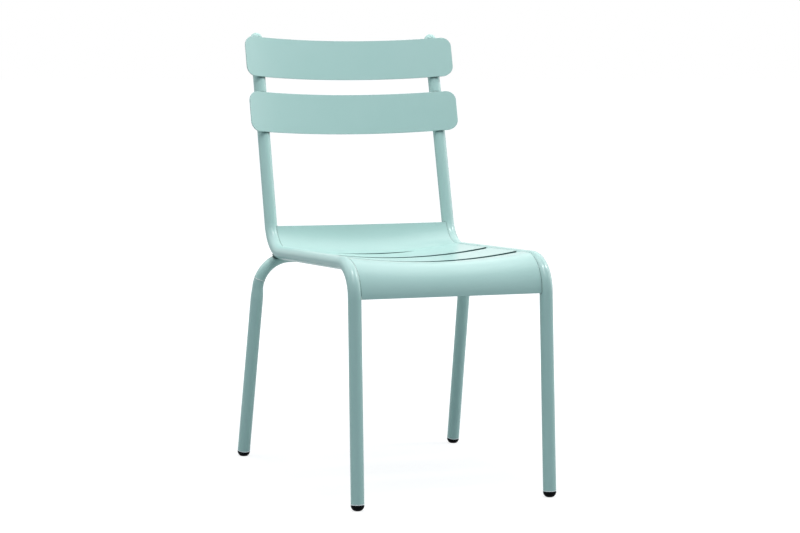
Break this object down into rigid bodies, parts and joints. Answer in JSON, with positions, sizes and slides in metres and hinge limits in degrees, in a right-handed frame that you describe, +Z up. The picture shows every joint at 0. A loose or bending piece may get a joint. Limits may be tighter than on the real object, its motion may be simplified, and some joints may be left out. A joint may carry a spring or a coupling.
{
  "type": "stacking side chair",
  "caption": "Armless stacking chair of bent aluminium tube with dished sheet seat panels and bowed back slats, powder coated, on plastic feet.",
  "frame": {"origin": "on the floor, at the middle of the chair's width and depth", "axes": "+Z up, the sitter looks along -Y, the chair is symmetric left and right about X = 0"},
  "size_m": [0.4886, 0.6424, 0.8565],
  "materials": {
    "mint_powder_coat": "satin powder coat",
    "black_plastic": "moulded, matt",
    "pale_plastic": "moulded, satin",
    "bare_aluminium": "as drawn"
  },
  "bodies": {
    "root": {"side_tube_left": "mint_powder_coat", "side_tube_right": "mint_powder_coat", "cross_tube": "mint_powder_coat", "rear_leg_left": "mint_powder_coat", "rear_leg_right": "mint_powder_coat", "seat_front_panel": "mint_powder_coat", "seat_middle_slat": "mint_powder_coat", "seat_rear_panel": "mint_powder_coat", "back_slat_upper": "mint_powder_coat", "back_slat_lower": "mint_powder_coat", "tube_cap_left": "mint_powder_coat", "tube_cap_right": "mint_powder_coat", "welds_upper_slat": "mint_powder_coat", "welds_lower_slat": "mint_powder_coat", "seat_welds_left": "mint_powder_coat", "seat_welds_right": "mint_powder_coat", "saddle_weld_left": "mint_powder_coat", "saddle_weld_right": "mint_powder_coat", "seam_weld_left": "mint_powder_coat", "seam_weld_right": "mint_powder_coat", "front_glide_left": "black_plastic", "front_glide_right": "black_plastic", "rear_glide_left": "black_plastic", "rear_glide_right": "black_plastic", "leg_spigot_left": "bare_aluminium", "leg_spigot_right": "bare_aluminium", "front_washer_left": "pale_plastic", "front_washer_right": "pale_plastic", "rear_washer_left": "pale_plastic", "rear_washer_right": "pale_plastic"}
  },
  "joints": []
}
